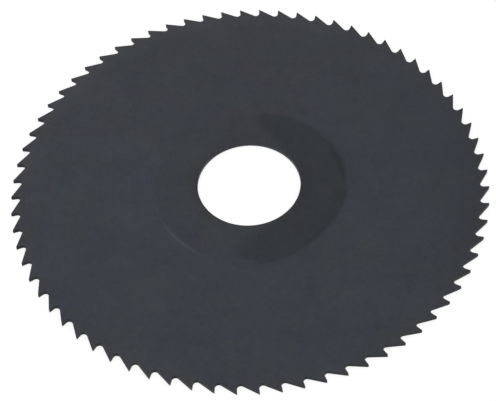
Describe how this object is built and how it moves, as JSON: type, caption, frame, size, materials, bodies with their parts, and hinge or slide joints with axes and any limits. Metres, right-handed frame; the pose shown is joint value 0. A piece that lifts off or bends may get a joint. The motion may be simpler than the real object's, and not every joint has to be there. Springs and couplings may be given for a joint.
{
  "type": "circular saw blade",
  "caption": "Thin black-oxide steel slitting saw disc with fine hooked teeth round its rim, a hollow-ground web, a full-thickness hub and a plain round bore.",
  "frame": {"origin": "centre of the bore at the middle of the thickness", "axes": "+Z along the bore's axis, out of the face seen in the picture; +X through a tooth's tip; the teeth point counter-clockwise about +Z"},
  "size_m": [0.125, 0.125, 0.0012],
  "materials": {
    "black_oxide_steel": "satin black-oxide, ground before blackening"
  },
  "bodies": {
    "root": {"blade": "black_oxide_steel"}
  },
  "joints": []
}
